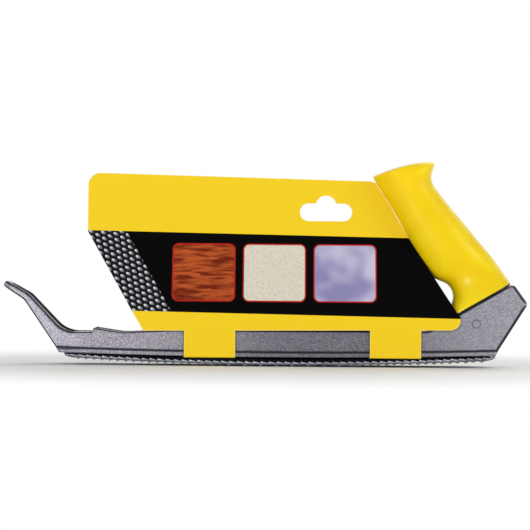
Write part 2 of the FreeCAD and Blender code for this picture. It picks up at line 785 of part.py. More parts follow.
def make_screw():
    """The slotted draw screw, its head down in the pocket of the toe's deck."""
    seat = pocket_floor + washer_thickness
    tip_level = hook_top() - hook_thickness - nut_height - screw_proud
    head = Part.makeCylinder(head_radius, head_height, Vec(screw_x, 0, seat))
    rim = [e for e in head.Edges if e.BoundBox.ZMin > seat + head_height / 2]
    head = head.makeChamfer(head_slot_depth / 3, rim)
    half_slot = head_slot_width / 2
    slot = block(screw_x - 2 * head_radius, screw_x + 2 * head_radius, -half_slot, half_slot,
                 seat + head_height - head_slot_depth, seat + 2 * head_height)
    shank = Part.makeCylinder(screw_radius, seat - tip_level, Vec(screw_x, 0, tip_level))
    tip_rim = [e for e in shank.Edges if e.BoundBox.ZMax < tip_level + clip_groove]
    shank = shank.makeChamfer(clip_groove, tip_rim)
    groove_foot = Vec(screw_x, 0, deck_underside - clip_gap - clip_thickness)
    groove = Part.makeCylinder(screw_radius, clip_thickness, groove_foot)
    groove = groove.cut(Part.makeCylinder(screw_radius - clip_groove, clip_thickness, groove_foot))
    return head.cut(slot).fuse(shank).cut(groove)


def make_washer():
    """The plain washer under the screw's head."""
    place_at = Vec(screw_x, 0, pocket_floor)
    disc = Part.makeCylinder(washer_radius, washer_thickness, place_at)
    return disc.cut(Part.makeCylinder(screw_radius + running_gap, washer_thickness, place_at))


def make_clip():
    """The open clip that sits in the screw's groove, under the deck."""
    low = deck_underside - clip_gap - clip_thickness
    disc = Part.makeCylinder(clip_radius, clip_thickness, Vec(screw_x, 0, low))
    inner = screw_radius - clip_groove + running_gap
    hole = Part.makeCylinder(inner, clip_thickness, Vec(screw_x, 0, low))
    mouth = block(screw_x, screw_x + 2 * clip_radius, -inner, inner, low, low + clip_thickness)
    return disc.cut([hole, mouth])


def hook_top():
    """The level of the hook's upper face: just under the upper edge of the front slot."""
    return eye_levels(-1)[1] - seat_gap


def make_hook():
    """The pressed hook: a tapped plate with a finger through the blade's slot and skirts beside the nut."""
    top = hook_top()
    low = top - hook_thickness
    back = screw_x + hook_back_run
    shoulder = screw_x - hook_shoulder_run
    half = hook_width / 2
    half_finger = hook_finger_width / 2
    corner = hook_thickness / 2
    finger_tip = screw_x - hook_finger_run
    near_side = [(finger_tip, -half_finger, corner), (shoulder, -half_finger, 0), (shoulder, -half, corner),
                 (back, -half, 0)]
    far_side = [(back, half, 0), (shoulder, half, corner), (shoulder, half_finger, 0),
                (finger_tip, half_finger, corner)]
    outline = rounded([*near_side, *far_side], "xy")
    plate = slab(outline, low, top, "xy")
    skirts = []
    for side in (-1, 1):
        near, far = sorted([side * (nut_width / 2 + nut_fit), side * half])
        skirts.append(block(shoulder + corner, back, near, far, low - hook_skirt, low))
    hole = Part.makeCylinder(screw_radius + running_gap, top - low, Vec(screw_x, 0, low))
    return plate.fuse(skirts).cut(hole)


def make_nut():
    """The square nut that the screw draws up, kept from turning by the hook's skirts."""
    top = hook_top() - hook_thickness
    half = nut_width / 2
    low = top - nut_height
    body = block(screw_x - half, screw_x + half, -half, half, low, top)
    return body.cut(Part.makeCylinder(screw_radius + running_gap, nut_height, Vec(screw_x, 0, low)))


def card_line():
    """The distance of the card's upright sides from the middle of the tool, to the middle of the board."""
    return half_lip + card_gap + card_thickness / 2


def across_card(radius, x, z):
    """A round cutter of this radius that passes through both boards at (x, z)."""
    return Part.makeCylinder(radius, body_width, Vec(x, -half_body, z), Vec(0, 1, 0))


def hang_slot():
    """The hanging slot: a long round-ended slot with a round lobe over its middle."""
    end = hang_height / 2
    half = hang_length / 2 - end
    lobe = hang_bump_width / 2
    lobe_z = hang_z + hang_bump_rise - lobe
    middle = block(hang_x - half, hang_x + half, -half_body, half_body, hang_z - end, hang_z + end)
    ends = [across_card(end, hang_x + side * half, hang_z) for side in (-1, 1)]
    return middle.fuse([*ends, across_card(lobe, hang_x, lobe_z)])


def card_sheet(side):
    """One face of the sleeve: upright beside the rails, leaning in above them, back to back at the top."""
    line = side * card_line()
    inner = side * card_thickness / 2
    route = [(line, 0, 0), (line, card_bend_z, card_low_round), (inner, card_meet_z, card_high_round),
             (inner, card_top_z + overrun, 0)]
    sheet = slab(band(route, card_thickness, "yz"), -reach / 2, reach / 2, "yz")
    panel = rounded([
        (card_foot_x, card_foot_z - card_foot_fall, 0),
        (card_heel_x, card_foot_z, card_foot_corner),
        (card_heel_x, card_heel_z, 0),
        (card_right_knee_x, card_right_knee_z, 0),
        (card_right_x, card_top_z - card_top_fall, card_corner),
        (card_left_x, card_top_z, card_corner),
        (card_left_x, card_left_z, 0),
    ])
    room_for_grip = into_seat_frame(grip_loft(-card_grip_gap))
    return sheet.common(slab(panel, -reach, reach)).cut([hang_slot(), room_for_grip])


def card_tab(side, centre):
    """A tab that runs down the body's side and turns in under the sole."""
    half = tab_width / 2
    nearest = min(abs(centre - half - sole_centre_x), abs(centre + half - sole_centre_x))
    flap = sole_height + nearest ** 2 / (2 * sole_radius) - flap_gap - card_thickness / 2
    line = card_line()
    route = [(-side * flap_reach, flap, 0), (side * line, flap, flap_bend),
             (side * line, card_foot_z + fuse_lap, 0)]
    if side > 0:
        low = flap - flap_step
        route = [(-flap_reach, low, 0), (flap_reach + fuse_lap, low, flap_bend),
                 (flap_reach + fuse_lap + flap_joggle, flap, flap_bend), *route[1:]]
    return slab(band(route, card_thickness, "yz"), centre - half, centre + half, "yz")


def make_card(side):
    """One side of the card sleeve, with its two tabs."""
    tabs = [card_tab(side, centre) for centre in tab_centres]
    return card_sheet(side).fuse(tabs).removeSplitter()


os.makedirs(out, exist_ok=True)
save(make_body(), "body_casting")
save(make_grip(), "grip")
save(make_pin(), "grip_pin")
save(make_blade(), "blade")
save(make_screw(), "draw_screw")
save(make_washer(), "screw_washer")
save(make_clip(), "screw_clip")
save(make_hook(), "draw_hook")
save(make_nut(), "hook_nut")
save(make_card(-1), "card_front")
save(make_card(1), "card_back")
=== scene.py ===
"""Rasp plane in its printed card sleeve: the finishes, the print and the studio around the fixed frame.

The body is a die casting in grey hammertone enamel. The grip is a glossy yellow moulding, the blade is
punched from bright strip, the small clamp parts are zinc plated, and the sleeve is printed, varnished board.
Every length here is in metres unless its name ends in _mm.
"""

import logging
import math
from dataclasses import dataclass, field
from enum import Enum
from typing import Any

import bmesh
import bpy
from mathutils import Matrix, Vector
from mathutils.bvhtree import BVHTree


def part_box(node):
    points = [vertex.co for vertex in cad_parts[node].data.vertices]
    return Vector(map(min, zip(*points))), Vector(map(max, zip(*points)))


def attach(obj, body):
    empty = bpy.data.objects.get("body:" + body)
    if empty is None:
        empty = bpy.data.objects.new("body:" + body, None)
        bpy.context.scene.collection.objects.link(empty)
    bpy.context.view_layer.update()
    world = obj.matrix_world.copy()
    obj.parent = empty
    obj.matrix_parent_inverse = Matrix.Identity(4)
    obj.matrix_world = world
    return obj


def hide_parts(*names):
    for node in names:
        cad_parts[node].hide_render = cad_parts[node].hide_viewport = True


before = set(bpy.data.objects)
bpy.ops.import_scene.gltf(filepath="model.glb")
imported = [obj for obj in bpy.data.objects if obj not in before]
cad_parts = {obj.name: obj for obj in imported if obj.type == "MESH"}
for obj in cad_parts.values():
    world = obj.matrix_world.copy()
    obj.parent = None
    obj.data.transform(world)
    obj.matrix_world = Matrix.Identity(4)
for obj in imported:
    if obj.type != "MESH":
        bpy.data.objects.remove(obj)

LOG = logging.getLogger("rasp_plane")
MM = 0.001
INK_EDGE = 0.05 * MM
SOFT_EDGE = 0.3 * MM
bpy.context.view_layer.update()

Socket = bpy.types.NodeSocket
Tree = bpy.types.NodeTree
Colour = tuple[float, float, float, float]


def linear(hex_colour: str) -> Colour:
    """Turn an sRGB hex colour into the linear colour that a shader socket takes.

    Args:
        hex_colour: Six hex digits after a hash sign, such as "#F2D21F".

    Returns:
        Red, green, blue and an alpha of one, all linear.
    """
    channels = [int(hex_colour[i:i + 2], 16) / 255 for i in (1, 3, 5)]
    curve = [c / 12.92 if c <= 0.04045 else ((c + 0.055) / 1.055) ** 2.4 for c in channels]
    return (curve[0], curve[1], curve[2], 1.0)


def add_node(tree: Tree, kind: str, settings: dict[str, Any] | None = None,
             links: dict[str | int, Socket] | None = None) -> bpy.types.Node:
    """Add one shader node, set it up and link its inputs.

    Args:
        tree: The node tree that takes the node.
        kind: The node's type without its ShaderNode prefix, such as "TexNoise".
        settings: Values by name. A name that the node has as a property is set there, and any other
            name, or a number, is an input socket.
        links: Output sockets by the input that each one feeds.

    Returns:
        The new node.
    """
    node = tree.nodes.new("ShaderNode" + kind)
    for name, value in (settings or {}).items():
        if isinstance(name, str) and hasattr(node, name):
            setattr(node, name, value)
        else:
            node.inputs[name].default_value = value
    for name, socket in (links or {}).items():
        tree.links.new(socket, node.inputs[name])
    return node


def reckon(tree: Tree, operation: str, *terms: Socket | float) -> Socket:
    """Join sockets or numbers by one step of arithmetic.

    Args:
        tree: The node tree.
        operation: The Math node's operation, such as "MULTIPLY".
        terms: The operands, each a socket or a plain number.

    Returns:
        The result's socket.
    """
    settings = {i: term for i, term in enumerate(terms) if isinstance(term, (int, float))}
    links = {i: term for i, term in enumerate(terms) if not isinstance(term, (int, float))}
    node = add_node(tree, "Math", {"operation": operation})
    for i, value in settings.items():
        node.inputs[i].default_value = value
    for i, socket in links.items():
        tree.links.new(socket, node.inputs[i])
    return node.outputs[0]


def blend_colours(tree: Tree, factor: Socket | float, low: Socket | str, high: Socket | str) -> Socket:
    """Mix two colours.

    Args:
        tree: The node tree.
        factor: How much of the second colour shows, from 0 to 1.
        low: The first colour, a socket or a hex colour.
        high: The second colour, a socket or a hex colour.

    Returns:
        The mixed colour's socket.
    """
    node = add_node(tree, "Mix", {"data_type": "RGBA"})
    for i, value in ((0, factor), (6, low), (7, high)):
        if isinstance(value, str):
            node.inputs[i].default_value = linear(value)
        elif isinstance(value, (int, float)):
            node.inputs[i].default_value = value
        else:
            tree.links.new(value, node.inputs[i])
    return node.outputs[2]


def graded(tree: Tree, value: Socket, start: float, end: float,
           low: float = 0.0, high: float = 1.0) -> Socket:
    """Ease a value from one range into another, with both ends held.

    Args:
        tree: The node tree.
        value: The value that is read.
        start: The value that gives low.
        end: The value that gives high.
        low: The result at start.
        high: The result at end.

    Returns:
        The eased value's socket.
    """
    names = {"From Min": start, "From Max": end, "To Min": low, "To Max": high}
    node = add_node(tree, "MapRange", {"interpolation_type": "SMOOTHSTEP", **names}, {"Value": value})
    return node.outputs[0]


class Slot(Enum):
    """Two material slot names, for the blade's steel and the printed board."""

    BLADE = "blade_steel"
    BOARD = "printed_board"


class Finish:
    """The shared start of every finish: a material with one shader, and coordinates in metres."""

    name: str = "finish"

    def material(self) -> bpy.types.Material:
        """Build the finish's material once.

        Returns:
            The material, new or as made before.
        """
        known = bpy.data.materials.get(self.name)
        if known:
            return known
        made = bpy.data.materials.new(self.name)
        made.use_nodes = True
        tree = made.node_tree
        shader = tree.nodes["Principled BSDF"]
        place = add_node(tree, "TexCoord").outputs["Object"]
        self.paint(tree, shader, place)
        return made

    def paint(self, tree: Tree, shader: bpy.types.Node, place: Socket) -> None:
        """Set the shader and lay this finish's pattern over it; each finish has its own."""
        raise NotImplementedError


def cells_per_metre(size_mm: float) -> float:
    """The texture scale at which one cell of a pattern is this many millimetres."""
    return 1 / (size_mm * MM)


def edge_mask(tree: Tree, reach_mm: float) -> Socket:
    """Find the stretch of a surface beside its sharp edges.

    Args:
        tree: The node tree.
        reach_mm: How far from an edge the mask reaches.

    Returns:
        A socket that is 0 on open faces and nears 1 at edges.
    """
    rounded = add_node(tree, "Bevel", {"samples": 6, "Radius": reach_mm * MM})
    flat = add_node(tree, "NewGeometry")
    both = add_node(tree, "VectorMath", {"operation": "DOT_PRODUCT"},
                    {0: rounded.outputs[0], 1: flat.outputs["Normal"]})
    return graded(tree, both.outputs["Value"], 0.998, 0.92)


def turn_mask(tree: Tree, flat: float, turned: float) -> Socket:
    """Find the rounded edges between a piece's side faces and its top or bottom.

    Args:
        tree: The node tree.
        flat: How squarely a side face looks along Y, below which the edge begins.
        turned: The same where the edge ends and the top begins.

    Returns:
        A socket that is 1 on the rounded edges and 0 on side faces and tops.
    """
    facing = add_node(tree, "SeparateXYZ", {}, {0: add_node(tree, "TexCoord").outputs["Normal"]})
    sideways = reckon(tree, "ABSOLUTE", facing.outputs[1])
    upright = graded(tree, reckon(tree, "ABSOLUTE", facing.outputs[2]), 0.04, 0.16)
    leaves = graded(tree, sideways, flat, flat - 0.035)
    arrives = graded(tree, sideways, turned, turned + 0.1)
    return reckon(tree, "MULTIPLY", upright, reckon(tree, "MULTIPLY", leaves, arrives))


def rim_mask(tree: Tree, reach_mm: float) -> Socket:
    """Find the stretch of a side face just below its upper edge.

    Args:
        tree: The node tree.
        reach_mm: How far below the edge the mask reaches.

    Returns:
        A socket that is 1 beside upper edges and 0 elsewhere.
    """
    rounded = add_node(tree, "Bevel", {"samples": 6, "Radius": reach_mm * MM})
    upward = add_node(tree, "SeparateXYZ", {}, {0: rounded.outputs[0]}).outputs[2]
    facing = add_node(tree, "SeparateXYZ", {}, {0: add_node(tree, "NewGeometry").outputs["Normal"]})
    sideways = reckon(tree, "ABSOLUTE", facing.outputs[1])
    return reckon(tree, "MULTIPLY", graded(tree, upward, 0.03, 0.14), graded(tree, sideways, 0.88, 0.95))


def nook_mask(tree: Tree, reach_mm: float) -> Socket:
    """Find the nooks where two pieces or two faces come close, where shade falls and is painted in.

    Args:
        tree: The node tree.
        reach_mm: How near another surface has to be.

    Returns:
        A socket that is 0 in the open and nears 1 deep in a nook.
    """
    open_share = add_node(tree, "AmbientOcclusion", {"samples": 8, "Distance": reach_mm * MM})
    return graded(tree, open_share.outputs["AO"], 0.86, 0.38)


@dataclass(frozen=True)
class HammertoneEnamel(Finish):
    """Hammertone enamel, sprayed and stoved over a zinc die casting.

    The aluminium flake gathers in the middle of small pools, so the surface shows a fine net of dark
    lines around silvery dimples, and the lacquer over it is glossy. Thin blue-black lines of painted
    shade and painted dark reflection run along every edge and in the nooks between faces, widest along
    the horn's rim, and fade round the cross pin, where the enamel bridges the seam. Painted shade also
    darkens the middle of the rails.
    """

    name: str = "hammertone_enamel_stoved"
    pool_mm: float = 0.66
    # A flake is some 0.05 mm across, which is too fine to show, so flakes are drawn coarser.
    flake_mm: float = 0.3
    drift_mm: float = 70.0
    edge_mm: float = 1.3
    turn: tuple[float, float] = (0.985, 0.05)
    nook_mm: float = 3.4
    rim_mm: float = 2.2
    horn_rim: tuple[float, float] = (-0.106, -0.116)
    # Painted shade: the middle of the rails is darkened around this place and fades out over this reach.
    shade_middle_mm: float = 35.0
    shade_reach_mm: tuple[float, float] = (20.0, 115.0)
    pin_place: tuple[float, float, float] = (0.1257, 0.0, 0.0263)
    pin_reach: float = 3.5 * MM
    pin_line: float = 0.12
    cool_share: float = 0.35
    middle_shade_share: float = 0.9
    shade_line_share: float = 0.95
    net: str = "#787580"
    pool: str = "#BDB9C0"
    cool: str = "#A2A6AE"
    middle_shade_net: str = "#514F59"
    middle_shade_pool: str = "#87848D"
    # Painted shade and painted dark reflection: the colour of the lines along edges and in nooks.
    edge: str = "#161929"
    roughness: float = 0.36
    flake_metal: float = 0.45
    shade_line_metal: float = 0.05
    gloss: float = 0.12
    lacquer: float = 0.12
    lacquer_roughness: float = 0.08
    dimple_mm: float = 0.035

    def paint(self, tree: Tree, shader: bpy.types.Node, place: Socket) -> None:
        """Pools from cells, flake from fine noise, painted shade and dark reflection on edges, and dimples
        as bump.
        """
        wobble = add_node(tree, "TexNoise", {"Scale": cells_per_metre(self.pool_mm), "Detail": 1.0},
                          {"Vector": place})
        swayed = add_node(tree, "VectorMath", {"operation": "MULTIPLY_ADD", 1: (self.pool_mm * MM,) * 3},
                          {0: wobble.outputs["Color"], 2: place})
        pools = add_node(tree, "TexVoronoi", {"feature": "SMOOTH_F1", "Scale": cells_per_metre(self.pool_mm),
                                              "Smoothness": 0.35}, {"Vector": swayed.outputs[0]})
        flake = add_node(tree, "TexNoise", {"Scale": cells_per_metre(self.flake_mm), "Detail": 2.0},
                         {"Vector": place})
        drift = add_node(tree, "TexNoise", {"Scale": cells_per_metre(self.drift_mm), "Detail": 1.0},
                         {"Vector": place})
        level = graded(tree, pools.outputs["Distance"], 0.68, 0.1)
        speck = graded(tree, flake.outputs["Fac"], 0.38, 0.64, -0.32, 0.34)
        shade = reckon(tree, "ADD", level, speck)
        paint = blend_colours(tree, shade, self.net, self.pool)
        cooled = graded(tree, drift.outputs["Fac"], 0.3, 0.7, 0.0, self.cool_share)
        tinted = blend_colours(tree, cooled, paint, self.cool)
        along = add_node(tree, "SeparateXYZ", {}, {0: place}).outputs[0]
        off_middle = reckon(tree, "ABSOLUTE", reckon(tree, "SUBTRACT", along, self.shade_middle_mm * MM))
        near, far = (value * MM for value in self.shade_reach_mm)
        # Painted shade over the middle of the rails: a darker net and pool that fade out towards both ends.
        film = blend_colours(tree, shade, self.middle_shade_net, self.middle_shade_pool)
        middle_shaded = blend_colours(tree, graded(tree, off_middle, near, far, self.middle_shade_share, 0.0), tinted, film)
        from_pin = add_node(tree, "VectorMath", {"operation": "SUBTRACT", 1: self.pin_place}, {0: place})
        flat = add_node(tree, "VectorMath", {"operation": "MULTIPLY", 1: (1.0, 0.0, 1.0)},
                        {0: from_pin.outputs[0]})
        away = add_node(tree, "VectorMath", {"operation": "LENGTH"}, {0: flat.outputs[0]}).outputs["Value"]
        bridged = graded(tree, away, self.pin_reach, self.pin_reach + SOFT_EDGE, self.pin_line, 1.0)
        # Painted shade and painted dark reflection along edges, in nooks and under the horn's rim, faint
        # round the pin.
        edges = reckon(tree, "MAXIMUM", edge_mask(tree, self.edge_mm), turn_mask(tree, *self.turn))
        nooks = reckon(tree, "MAXIMUM", edges, nook_mask(tree, self.nook_mm))
        on_horn = graded(tree, along, *self.horn_rim)
        rim = reckon(tree, "MULTIPLY", rim_mask(tree, self.rim_mm), on_horn)
        lines = reckon(tree, "MULTIPLY", reckon(tree, "MAXIMUM", nooks, rim), bridged)
        final = blend_colours(tree, reckon(tree, "MULTIPLY", lines, self.shade_line_share), middle_shaded, self.edge)
        tree.links.new(final, shader.inputs["Base Color"])
        rough = graded(tree, flake.outputs["Fac"], 0.3, 0.7, self.roughness - 0.06, self.roughness + 0.1)
        tree.links.new(rough, shader.inputs["Roughness"])
        metal = reckon(tree, "MULTIPLY_ADD", lines, self.shade_line_metal - self.flake_metal, self.flake_metal)
        tree.links.new(metal, shader.inputs["Metallic"])
        shader.inputs["Specular IOR Level"].default_value = self.gloss
        shader.inputs["Coat Weight"].default_value = self.lacquer
        shader.inputs["Coat Roughness"].default_value = self.lacquer_roughness
        bump = add_node(tree, "Bump", {"Strength": 0.55, "Distance": self.dimple_mm * MM},
                        {"Height": pools.outputs["Distance"]})
        tree.links.new(bump.outputs[0], shader.inputs["Normal"])


@dataclass(frozen=True)
class MouldedAcetate(Finish):
    """Cellulose acetate, injection moulded in a polished tool.

    It is glossy and a little deep in colour, with faint flow waves from the mould and hairline
    scratches that only show where a light glances off. A dark line of painted shade runs along its
    foot, just over the casting's sloping seat, in the seam between grip and casting.
    """

    name: str = "cellulose_acetate_moulded"
    body: str = "#F8D70A"
    deep: str = "#F4CD00"
    flow_mm: float = 28.0
    ripple_mm: float = 9.0
    # Hairline scratches are too fine to show, so they are drawn as broader bands of them.
    scratch_mm: float = 1.4
    roughness: float = 0.28
    gloss: float = 0.22
    index: float = 1.47
    glow: float = 0.3
    glow_reach: tuple[float, float, float] = (0.006, 0.004, 0.0008)
    # Painted shade: the colour of the dark line in the seam along the grip's foot.
    seam: str = "#1D1A12"
    seam_top: float = 1.5 * MM
    seat_foot: tuple[float, float, float] = (0.0978, 0.0, 0.0212)
    seat_slope: float = 30.0

    def paint(self, tree: Tree, shader: bpy.types.Node, place: Socket) -> None:
        """Slow flow marks and the seam's painted shade in the colour, fine scratches in the roughness,
        ripples as bump.
        """
        flow = add_node(tree, "TexNoise", {"Scale": cells_per_metre(self.flow_mm), "Detail": 2.0,
                                           "Distortion": 0.6}, {"Vector": place})
        colour = blend_colours(tree, graded(tree, flow.outputs["Fac"], 0.35, 0.65), self.body, self.deep)
        slope = math.radians(self.seat_slope)
        from_seat = add_node(tree, "VectorMath", {"operation": "SUBTRACT", 1: self.seat_foot}, {0: place})
        upward = (-math.sin(slope), 0.0, math.cos(slope))
        over_seat = add_node(tree, "VectorMath", {"operation": "DOT_PRODUCT", 1: upward},
                             {0: from_seat.outputs[0]}).outputs["Value"]
        # Painted shade in the seam: the lowest part of the grip's foot, just over the seat, is darkened.
        painted_seam_shade = graded(tree, over_seat, self.seam_top, self.seam_top - SOFT_EDGE)
        tree.links.new(blend_colours(tree, painted_seam_shade, colour, self.seam), shader.inputs["Base Color"])
        stretched = add_node(tree, "Mapping", {"Scale": (1.0, 1.0, 0.06), "Rotation": (0.3, 0.5, 0.0)},
                             {"Vector": place})
        scratch = add_node(tree, "TexNoise", {"Scale": cells_per_metre(self.scratch_mm), "Detail": 3.0},
                           {"Vector": stretched.outputs[0]})
        rough = graded(tree, scratch.outputs["Fac"], 0.62, 0.78, self.roughness, self.roughness + 0.16)
        tree.links.new(rough, shader.inputs["Roughness"])
        shader.inputs["IOR"].default_value = self.index
        shader.inputs["Specular IOR Level"].default_value = self.gloss
        shader.inputs["Subsurface Weight"].default_value = self.glow
        shader.inputs["Subsurface Radius"].default_value = self.glow_reach
        shader.inputs["Subsurface Scale"].default_value = 1.0
        ripple = add_node(tree, "TexNoise", {"Scale": cells_per_metre(self.ripple_mm), "Detail": 1.0},
                          {"Vector": place})
        bump = add_node(tree, "Bump", {"Strength": 0.12, "Distance": 0.2 * MM},
                        {"Height": ripple.outputs["Fac"]})
        tree.links.new(bump.outputs[0], shader.inputs["Normal"])


@dataclass(frozen=True)
class RolledSteel(Finish):
    """Steel strip, cold rolled and punched, or the same with bright zinc on it.

    Rolling leaves fine lines along the strip that smear its highlights, and handling leaves a few dull
    patches and a thin film of oil.
    """

    name: str = "spring_steel_rolled"
    bright: str = "#B6B9C2"
    dull: str = "#74777F"
    # The mill's lines are a few hundredths of a millimetre apart, too fine to show, and are drawn coarser.
    line_mm: float = 0.25
    patch_mm: float = 14.0
    roughness: float = 0.27
    along: tuple[float, float, float] = (0.03, 1.0, 1.0)

    def paint(self, tree: Tree, shader: bpy.types.Node, place: Socket) -> None:
        """Lines drawn out along the strip for roughness and bump, and duller patches in the colour."""
        drawn = add_node(tree, "Mapping", {"Scale": self.along}, {"Vector": place})
        lines = add_node(tree, "TexNoise", {"Scale": cells_per_metre(self.line_mm), "Detail": 2.0},
                         {"Vector": drawn.outputs[0]})
        patch = add_node(tree, "TexNoise", {"Scale": cells_per_metre(self.patch_mm), "Detail": 3.0},
                         {"Vector": place})
        dulled = graded(tree, patch.outputs["Fac"], 0.42, 0.68)
        streaks = graded(tree, lines.outputs["Fac"], 0.35, 0.65, 0.0, 0.3)
        tone = reckon(tree, "ADD", reckon(tree, "MULTIPLY", dulled, 0.55), streaks)
        tree.links.new(blend_colours(tree, tone, self.bright, self.dull), shader.inputs["Base Color"])
        rough = reckon(tree, "MULTIPLY_ADD", tone, 0.2, self.roughness)
        tree.links.new(rough, shader.inputs["Roughness"])
        shader.inputs["Metallic"].default_value = 1.0
        bump = add_node(tree, "Bump", {"Strength": 0.25, "Distance": 0.02 * MM},
                        {"Height": lines.outputs["Fac"]})
        tree.links.new(bump.outputs[0], shader.inputs["Normal"])


@dataclass(frozen=True)
class Panel:
    """A round-cornered panel of the print, by its middle and half sizes along X and Z."""

    middle: tuple[float, float]
    half: tuple[float, float]
    corner: float

    def inside(self, tree: Tree, place: Socket, grow: float = 0.0) -> Socket:
        """Mark the panel's area.

        Args:
            tree: The node tree.
            place: A point on the board, of which X and Z count.
            grow: How much wider than the panel the area is, all round.

        Returns:
            A socket that is 1 inside and 0 outside.
        """
        flat = add_node(tree, "VectorMath", {"operation": "MULTIPLY", 1: (1.0, 0.0, 1.0)}, {0: place})
        middle = (self.middle[0], 0.0, self.middle[1])
        away = add_node(tree, "VectorMath", {"operation": "SUBTRACT", 1: middle}, {0: flat.outputs[0]})
        folded = add_node(tree, "VectorMath", {"operation": "ABSOLUTE"}, {0: away.outputs[0]})
        reach = (self.half[0] - self.corner, 0.0, self.half[1] - self.corner)
        past = add_node(tree, "VectorMath", {"operation": "SUBTRACT", 1: reach}, {0: folded.outputs[0]})
        outside = add_node(tree, "VectorMath", {"operation": "MAXIMUM", 1: (0.0, 0.0, 0.0)},
                           {0: past.outputs[0]})
        far = add_node(tree, "VectorMath", {"operation": "LENGTH"}, {0: outside.outputs[0]})
        edge = self.corner + grow
        return graded(tree, far.outputs["Value"], edge + INK_EDGE, edge - INK_EDGE)


